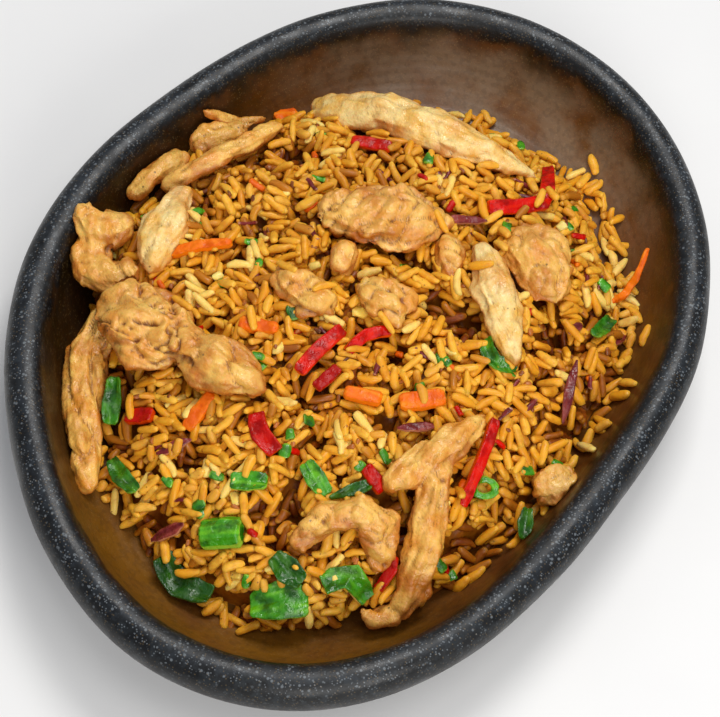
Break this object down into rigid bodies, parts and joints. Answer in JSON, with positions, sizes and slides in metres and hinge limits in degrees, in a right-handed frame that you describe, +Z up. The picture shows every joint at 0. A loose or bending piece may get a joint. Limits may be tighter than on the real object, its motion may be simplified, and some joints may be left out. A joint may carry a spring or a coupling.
{
  "type": "plate of chicken fried rice",
  "caption": "Oval hand-thrown stoneware dish holding a heap of fried rice with chicken strips, red pepper, carrot, spring onion and red onion.",
  "frame": {"origin": "on the surface it stands on, under the middle of the dish's box in plan", "axes": "+X along the dish's long axis, +Y across it, +Z up"},
  "size_m": [0.2651, 0.2059, 0.0531],
  "materials": {
    "glazed_stoneware": "dark glaze, speckled blue-grey on the rim and brown inside",
    "rice": null,
    "chicken": null,
    "red_pepper": null,
    "carrot": null,
    "spring_onion": null,
    "red_onion": null
  },
  "bodies": {
    "root": {"dish": "glazed_stoneware", "rice": "rice", "chicken_strip_top": "chicken", "chicken_folded": "chicken", "chicken_pale_finger": "chicken", "chicken_right": "chicken", "chicken_right_small": "chicken", "chicken_centre_top": "chicken", "chicken_centre_small": "chicken", "chicken_centre_left": "chicken", "chicken_centre_right": "chicken", "chicken_forked": "chicken", "chicken_low": "chicken", "chicken_ragged": "chicken", "chicken_wide_left": "chicken", "chicken_rim": "chicken", "chicken_thin_left": "chicken", "chicken_sliver": "chicken", "chicken_corner": "chicken", "chicken_edge": "chicken", "pepper_centre": "red_pepper", "pepper_curl": "red_pepper", "pepper_dark": "red_pepper", "pepper_long": "red_pepper", "pepper_ring": "red_pepper", "pepper_glossy": "red_pepper", "pepper_left": "red_pepper", "pepper_under_strip": "red_pepper", "pepper_low": "red_pepper", "pepper_far_low": "red_pepper", "carrot_left": "carrot", "carrot_middle": "carrot", "carrot_square": "carrot", "carrot_broad": "carrot", "carrot_standing": "carrot", "carrot_far": "carrot", "carrot_diagonal": "carrot", "spring_onion_tube": "spring_onion", "spring_onion_flat": "spring_onion", "spring_onion_short": "spring_onion", "spring_onion_split": "spring_onion", "spring_onion_blade_middle": "spring_onion", "spring_onion_curl_left": "spring_onion", "spring_onion_blade_left": "spring_onion", "spring_onion_wet": "spring_onion", "spring_onion_dark_low": "spring_onion", "spring_onion_folded": "spring_onion", "spring_onion_hook": "spring_onion", "spring_onion_right": "spring_onion", "spring_onion_ring": "spring_onion", "spring_onion_blade_right": "spring_onion", "red_onion_arc": "red_onion", "red_onion_low_left": "red_onion", "red_onion_shred_right": "red_onion", "red_onion_behind": "red_onion", "red_onion_edge": "red_onion", "red_onion_middle": "red_onion", "red_onion_left": "red_onion"}
  },
  "joints": []
}
